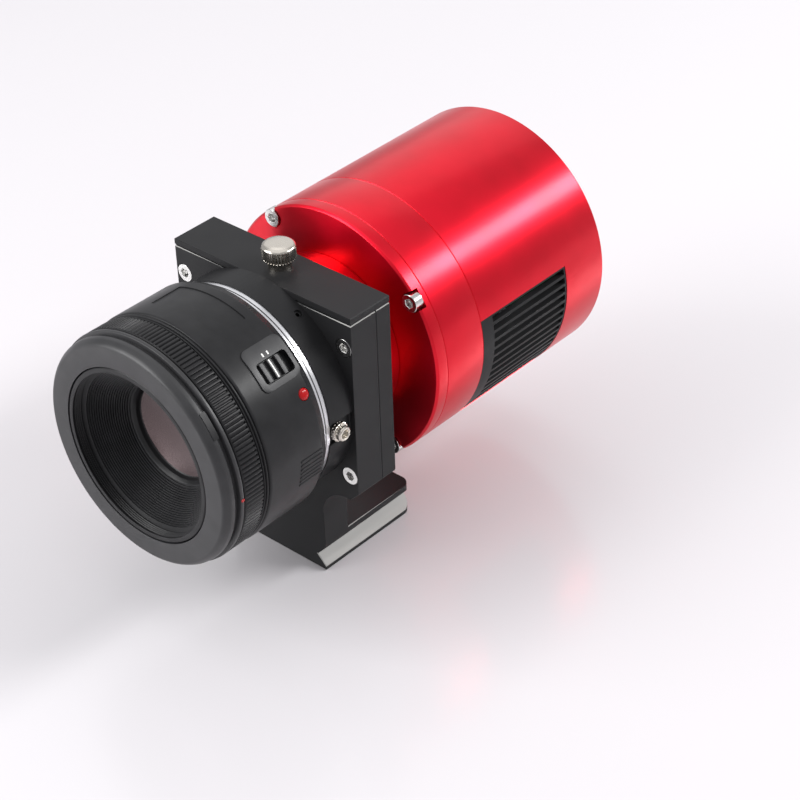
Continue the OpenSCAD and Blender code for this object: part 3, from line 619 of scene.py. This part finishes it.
def build_bezel():
    """Front bezel: satin front face, a groove for a hood and a rounded lip at the back."""
    front = -39.3
    lathe("front_bezel_detail", [
        (BEZEL_BORE, front, 0.1), (32.2, front + 0.02, 0.5), (33.0, front + 0.75, 0.5),
        (33.6, front + 1.9, 0.3), (33.75, front + 3.2, 0.12), (32.95, front + 3.35, 0.05),
        (32.9, -34.75, 0.05), (34.3, -34.55, 0.15), (34.42, -34.0, 0.15), (34.3, -33.4, 0.1),
        (30.5, -33.35, 0.05), (30.5, -33.2, 0.05), (BEZEL_BORE, -33.2, 0.05),
    ], "camera", "switch_plastic", ("front_bezel",), 256)
    for name, start, end in (("hood_catch", 30.5, 44.0), ("hood_catch_low", 262.0, 274.0)):
        catch = wall_patch(start, end, -37.1, -35.3, 32.5, 33.85, 0.35, 20, 4)
        finish_mesh(name, catch, "camera", "lens_plastic", 30)
    mark = wall_patch(-2.2, -0.8, -34.45, -33.45, 34.0, 34.5, 0.2, 6, 2)
    finish_mesh("hood_mark", mark, "camera", "index_red", 30)


def funnel_outline(start, end, count):
    """Steps of the light baffle from the filter thread down to the front element."""
    points = []
    for i in range(count):
        r = start[0] + (end[0] - start[0]) * i / count
        for k in (i, i + 1):
            points.append((r, start[1] + (end[1] - start[1]) * k / count, 0.05))
    points.append((*end, 0.05))
    return points


def build_inner_barrel():
    """Sleeve that carries the optics: filter thread at its mouth, then a ribbed funnel."""
    rim = -39.2
    thread = []
    for i in range(5):
        y = rim + 0.55 + i * 0.62
        thread += [(24.5, y, 0.05), (24.95, y + 0.31, 0.05)]
    thread.reverse()
    outline = [
        (24.5, rim, 0.15), (25.7, rim, 0.2), (26.0, rim + 0.3, 0.1), (26.0, -9.0, 0.1),
        (24.9, -9.0, 0.1), (24.9, -25.5, 0.05), (20.0, -25.5, 0.05), (20.0, -17.2, 0.05),
        (16.2, -17.2, 0.05), (16.2, -26.5, 0.05), (15.7, -26.7, 0.1),
    ]
    funnel = funnel_outline((23.4, rim + 3.9), (15.9, -26.8), 18)
    funnel.reverse()
    lathe("inner_barrel_detail", outline + funnel + thread, "focus_group", "lens_plastic",
          ("inner_barrel",), 256, 0.05, 25)
    lathe("retaining_ring_detail", [
        (13.6, -23.7, 0.1), (14.3, -24.3, 0.15), (14.5, -25.4, 0.1), (15.3, -26.35, 0.25),
        (16.1, -26.5, 0.1), (16.1, -17.4, 0.1), (14.05, -17.4, 0.1), (14.05, -21.2, 0.05),
        (13.6, -21.55, 0.05),
    ], "focus_group", "lens_plastic", ("retaining_ring",), 192)


def build_glass():
    """Front element: slightly hollow, so that its coating shows a broad tinted reflection."""
    outer, steps = 14.0, 14
    front_y, front_curve = -21.8, 45.0
    rear_y, rear_curve, rear_share = -20.6, 40.0, 0.4
    radii = [outer * i / steps for i in range(steps + 1)]
    front = [(r, front_y - front_curve + math.sqrt(front_curve**2 - r**2), 0) for r in radii]
    rear = [
        (r, rear_y + (rear_curve - math.sqrt(rear_curve**2 - r**2)) * rear_share, 0)
        for r in reversed(radii)
    ]
    lathe("front_element_detail", front + rear, "focus_group", "lens_glass", ("front_element",),
          128, 0, 60)


def switch_opening():
    """Cutter for the slot in which the switch slides."""
    return wall_patch(38.5, 48.7, -15.6, -4.9, 33.1, 36.2, 1.1, 24, 4)


def build_barrel():
    """Lens barrel: fixed shell with the blank label recess, switch panel and grip ridges."""
    shell = lathe("lens_barrel_detail", [
        (26.3, -33.15, 0.05), (30.95, -33.15, 0.1), (30.95, -25.75, 0.05), (34.0, -25.7, 0.1),
        (34.15, -25.35, 0.1), (33.75, -25.2, 0.05), (33.75, -25.0, 0.05), (34.3, -24.85, 0.12),
        (34.35, -24.45, 0.12), (33.95, -24.3, 0.05), (33.95, -24.1, 0.05), (34.45, -23.9, 0.12),
        (34.6, -23.4, 0.2), (34.6, -4.3, 0.35), (34.1, -3.6, 0.2), (33.5, -2.0, 0.15),
        (22.6, -2.0, 0.05), (22.6, -3.8, 0.05), (32.8, -3.8, 0.1), (32.8, -22.8, 0.1),
        (26.3, -22.8, 0.05),
    ], "camera", "lens_plastic", ("lens_barrel",), 360)
    label = wall_patch(69.0, 111.0, -18.0, -7.4, 34.32, 35.4, 0.5, 40, 4)
    dot = rod_mesh(place(0, DOT_Y, 0), radial(DOT_ANGLE), 1.8, 33.4, 36)
    cut(shell, [label, switch_opening(), dot])
    panel = wall_patch(35.6, 56.6, -17.4, -3.75, 34.2, 34.98, 2.0, 48, 8)
    panel = finish_mesh("switch_panel", panel, "camera", "switch_plastic", 30)
    soften(panel, 0.16)
    cut(panel, [switch_opening()])
    first, pitch, count, half = -2, 2.3, 7, 0.55
    grip = [
        wall_patch(a - half, a + half, -12.6, -4.2, 34.3, 34.8, 0.3, 4, 10)
        for a in (first - pitch * k for k in range(count))
    ]
    ridges = finish_mesh("grip_ridges", joined(grip), "camera", "lens_plastic", 30)
    soften(ridges, 0.12)
    ticks = [
        wall_patch(49.9, 51.6, y - 0.22, y + 0.22, 34.9, 35.02, 0.0, 6, 1) for y in (-11.7, -9.9)
    ]
    finish_mesh("switch_ticks", joined(ticks), "camera", "ceramic", 30)


def build_switch():
    """Slider in its slot: a base plate and three ribs, the middle one with a pale line."""
    base = wall_patch(38.9, 48.3, -15.35, -7.15, 33.3, 34.0, 0.3, 20, 4)
    ribs = [
        wall_patch(39.0, 48.2, y - 0.6, y + 0.6, 33.8, 35.1, 0.1, 20, 2) for y in (-13.9, -11.1, -8.3)
    ]
    slider = finish_mesh("focus_mode_slider", joined([base] + ribs), "mode_switch", "switch_plastic",
                         30, ("focus_mode_switch",))
    soften(slider, 0.14)
    line = wall_patch(39.3, 47.9, -11.3, -10.9, 34.95, 35.14, 0.0, 16, 1)
    finish_mesh("slider_line", line, "mode_switch", "ceramic", 30)


def build_dot():
    """Red index dot for fitting the lens."""
    profile = [
        (0, 35.15), (0.75, 35.1), (1.3, 34.9), (1.62, 34.6), (1.72, 34.2), (1.72, 33.5), (0, 33.5),
    ]
    bm = turned_mesh(place(0, DOT_Y, 0), radial(DOT_ANGLE), profile, 40)
    finish_mesh("index_dot_detail", bm, "camera", "index_red", 50, ("index_dot",))


def build_painted_seam_shade():
    """A black ring flush in the seam between the lens and the adapter's mount ring: painted shade that
    stands in for the shadowed gap.
    """
    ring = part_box("mount_ring")
    outer = (ring[1].x - ring[0].x) / 2 / MM + 0.02
    # Painted shade: a dark band where the seam's gap lies in shadow.
    lathe("painted_seam_shade", [(30.5, -0.17), (outer, -0.17), (outer, 0.2), (30.5, 0.2)], "camera",
          "black_plastic", (), 256, 0.01)


def build_lens():
    build_bezel()
    build_focus_ring()
    build_inner_barrel()
    build_glass()
    build_barrel()
    build_switch()
    build_dot()
    build_painted_seam_shade()


# ---- Adapter ----


def knurled_knob(name, centre, axis, profile, ridges, band, depth, body, nodes):
    """A turned nickel knob whose grip band, between two heights, carries straight ridges."""
    ridge = (0.0, 0.35, 1.0, 0.35)
    low, high = band

    def dip(step, height):
        return ridge[step % len(ridge)] * depth if low <= height <= high else 0

    bm = turned_mesh(centre, axis, profile, ridges * len(ridge), dip)
    finish_mesh(name, bm, body, "knob_nickel", 28, nodes)


def build_drawer_knob():
    """The knob that lifts the drawer, on a narrow neck."""
    base = place(0, 18.2, 31.35)
    profile = [
        (0, 7.32), (2.0, 7.28), (3.6, 7.12), (4.25, 6.85), (4.62, 6.5), (4.7, 6.3), (4.78, 6.2),
        (4.8, 6.0), (4.8, 3.1), (4.78, 2.95), (4.6, 2.8), (4.2, 2.62), (3.9, 2.3), (3.5, 1.5),
        (3.32, 0.9), (3.3, 0.0), (1.48, 0.0), (1.48, -4.6), (0, -4.6),
    ]
    knurled_knob("drawer_knob_detail", base, Vector((0, 0, 1)), profile, 34, (2.9, 6.25), 0.42,
                 "drawer", ("drawer_knob",))


def build_release_knob():
    """The lens release knob: two tiers and a hollow face."""
    base = place(31.2, 4.6, -1.6)
    profile = [
        (0, 2.5), (1.1, 2.5), (1.2, 2.6), (1.3, 3.3), (1.5, 3.46), (1.8, 3.46), (2.05, 3.3), (2.2, 3.0),
        (2.25, 2.85), (2.25, 2.1), (2.35, 1.95), (2.75, 1.85), (2.9, 1.7), (2.9, 0.9), (2.8, 0.7),
        (2.4, 0.55), (2.4, 0.0), (0.8, 0.0), (0.8, -0.7), (0, -0.7),
    ]
    knurled_knob("release_knob_detail", base, Vector((1, 0, 0)), profile, 18, (0.8, 2.9), 0.3,
                 "lens_lock", ("release_knob",))


def build_lock_spring():
    """The coil spring behind the lock pin, kept as a detailed copy with a mesh of its own; it is not
    pressed together here when the pin is drawn back.
    """
    spring = refined("lock_spring", 0)
    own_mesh(spring)


def build_adapter():
    build_drawer_knob()
    build_release_knob()
    build_lock_spring()
    for node in ("adapter_body", "adapter_rear_plate", "filter_drawer"):
        refined(node, 0.22, 2.5)
    for node in ("adapter_screws", "tilt_screws", "rear_cover_screws"):
        refined(node, 0.12)
    refined("boss_set_screws", 0.08)


# ---- Camera head ----


def build_front_plate():
    """Front plate of the head, with an open pocket at its edge for each tilt screw."""
    joint_r, screw_r, pocket_r, pocket_depth = 21.0, 36.6, 3.05, 2.6
    plate = lathe("front_plate_detail", [
        (joint_r, HEAD_Y, 0.1), (HEAD_R - 0.6, HEAD_Y, 0.15), (HEAD_R, HEAD_Y + 0.6, 0.15),
        (HEAD_R, PLATE_BACK - 0.16, 0.1), (HEAD_R - 0.24, PLATE_BACK, 0.02),
        (joint_r, PLATE_BACK, 0.05),
    ], "camera", "red_anodised", ("front_plate",), 288, 0.1, 25)
    front, floor = HEAD_Y - 1, HEAD_Y + pocket_depth
    pockets = []
    for k in range(4):
        angle = 36 + 90 * k
        spot = polar(angle, screw_r, 0)
        pockets.append(rod_mesh(spot, (0, 1, 0), pocket_r, front, floor, 48))
        pockets.append(box_mesh((screw_r, front, -2.95), (42, floor - 0.005, 2.95), angle))
        pockets.append(rod_mesh(spot, (0, 1, 0), 1.6, HEAD_Y + 1, PLATE_BACK + 1, 32))
    cut(plate, pockets)


def build_sensor_housing():
    """Sealed chamber behind the front plate, with the desiccant plug's stepped hole."""
    chamber = lathe("sensor_housing_detail", [
        (18.6, PLATE_BACK - 1.8), (18.6, PLATE_BACK, 0.02), (HEAD_R - 0.25, PLATE_BACK, 0.02),
        (HEAD_R, PLATE_BACK + 0.16, 0.06), (HEAD_R, CHAMBER_BACK - 0.16, 0.06),
        (HEAD_R - 0.25, CHAMBER_BACK, 0.02), (33, CHAMBER_BACK), (33, PLATE_BACK + 1.1),
        (14.4, PLATE_BACK + 1.1), (14.4, PLATE_BACK + 0.4), (16.1, PLATE_BACK + 0.4),
        (16.1, PLATE_BACK - 1.8),
    ], "camera", "red_anodised", ("sensor_housing",), 288, 0.05, 25)
    plug, out = place(0, HEAD_Y + 12, 0), radial(200)
    cut(chamber, [
        rod_mesh(plug, out, 4.0, HEAD_R - 4, HEAD_R + 1, 64),
        rod_mesh(plug, out, 2.5, HEAD_R - 8, HEAD_R - 3.9, 48),
    ])


def build_main_housing():
    """Rear shell with its two vent openings, and the lugs inside it for the rear cover's screws."""
    inside = HEAD_R - 2.4
    vent_half, vent_back = 28.9, HEAD_Y + 57.6
    shell = lathe("main_housing_detail", [
        (inside, CHAMBER_BACK, 0.05), (HEAD_R - 0.25, CHAMBER_BACK, 0.02),
        (HEAD_R, CHAMBER_BACK + 0.16, 0.06), (HEAD_R, HEAD_BACK - 0.5, 0.2),
        (HEAD_R - 0.5, HEAD_BACK, 0.2), (inside, HEAD_BACK, 0.1),
    ], "camera", "red_anodised", ("main_housing",), 288, 0.05, 25)
    cut(shell, [
        wall_patch(a - vent_half, a + vent_half, CHAMBER_BACK + 0.1, vent_back,
                   inside - 1, HEAD_R + 1, 0, 48, 2)
        for a in (-15.8, 164.2)
    ])
    lugs = [
        rod_mesh(polar(a, 33.6, 0), (0, 1, 0), 3.2, HEAD_BACK - 11.2, HEAD_BACK - 3.25, 32)
        for a in (25, 155, 205, 335)
    ]
    finish_mesh("rear_lugs", joined(lugs), "camera", "red_anodised")


def build_head():
    build_front_plate()
    build_sensor_housing()
    build_main_housing()
    refined("rear_cover", 0)
    refined("thread_spacer", 0.2)
    for node in ("vent_grille_right", "vent_grille_left", "fan_grille"):
        refined(node, 0.08)
    for node in ("usb3_socket", "usb2_sockets", "power_socket", "desiccant_plug"):
        refined(node, 0.12)


# ---- Studio ----


def add_light(name, where, aim, size, power):
    """A rectangular softbox that faces the aim, with its second side as near to Y as that allows."""
    data = bpy.data.lights.new(name, "AREA")
    data.shape = "RECTANGLE"
    data.size, data.size_y = size
    data.energy = power
    light = bpy.data.objects.new(name, data)
    back = (Vector(where) - Vector(aim)).normalized()
    side = Vector((0, 1, 0)).cross(back).normalized()
    turn = Matrix((side, back.cross(side), back)).transposed().to_4x4()
    light.matrix_world = Matrix.Translation(Vector(where)) @ turn
    bpy.context.scene.collection.objects.link(light)


def add_studio():
    """Pale floor, even surroundings and four softboxes."""
    gap = 0.1 * MM
    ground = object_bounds()[0].z - gap
    bm = bmesh.new()
    bmesh.ops.create_grid(bm, x_segments=1, y_segments=1, size=4)
    data = bpy.data.meshes.new("floor")
    bm.to_mesh(data)
    bm.free()
    floor = bpy.data.objects.new("floor", data)
    floor.location.z = ground
    bpy.context.scene.collection.objects.link(floor)
    made = Surface("floor", (0.64, 0.62, 0.64), 0.2, 0.0)
    made.vary_roughness(made.noise(6, 2), 0.02)
    data.materials.append(made.material)
    world = bpy.data.worlds.new("studio")
    world.use_nodes = True
    surroundings = world.node_tree.nodes["Background"]
    surroundings.inputs["Color"].default_value = (0.97, 0.97, 1, 1)
    surroundings.inputs["Strength"].default_value = 0.55
    bpy.context.scene.world = world
    bpy.context.scene.view_settings.view_transform = "Standard"
    aim = Vector((0, 0.05, 0.06))
    add_light("overhead", (-0.1, -0.05, 1.3), aim, (1.6, 1.6), 5.4)
    add_light("back_wall", aim + Vector((-0.55, 0.6, 0.575)) * 1.4, aim, (1.3, 1.3), 2.6)
    add_light("strip", aim + Vector((0.58, 0.6, 0.55)) * 1.1, aim, (0.19, 0.9), 10.5)
    add_light("front_left", aim + Vector((-0.45, -0.8, 0.4)) * 1.1, aim, (0.7, 0.7), 11)


add_camera()
SURFACES = make_surfaces()
SLOTS = {s["node"]: s["material_slot"] for s in frame["record"]["subparts"]}
for node_name, node_object in frame["nodes"].items():
    paint(node_object, SLOTS[node_name])
build_lens()
build_adapter()
build_head()
add_studio()
